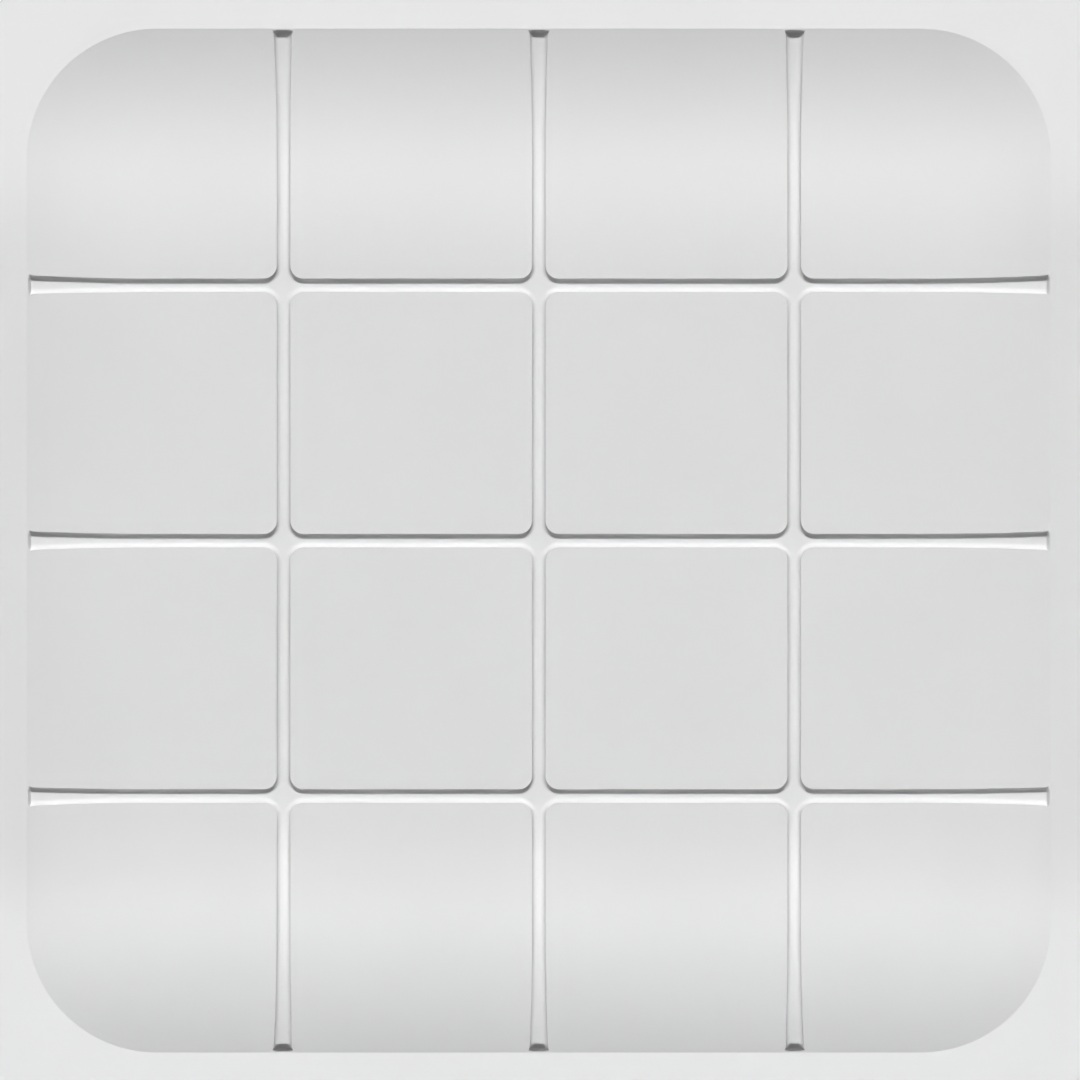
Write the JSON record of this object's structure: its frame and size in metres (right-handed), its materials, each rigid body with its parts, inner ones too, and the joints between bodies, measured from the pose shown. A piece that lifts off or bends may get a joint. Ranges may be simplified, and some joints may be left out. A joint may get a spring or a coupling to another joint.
{
  "type": "three-dimensional wall panel",
  "caption": "Square white moulded wall panel with a flat border and a shallow dished face divided into tiles by grooves, for gluing to a wall.",
  "frame": {"origin": "middle of the back plane, which touches the wall", "axes": "+Z out of the face of the panel, +Y towards the top of the panel as hung in the picture, +X to the right seen from the front"},
  "size_m": [0.5, 0.5, 0.013],
  "materials": {
    "white_pvc": "smooth satin white moulded PVC with a very fine grain"
  },
  "bodies": {
    "root": {"panel": "white_pvc"}
  },
  "joints": []
}
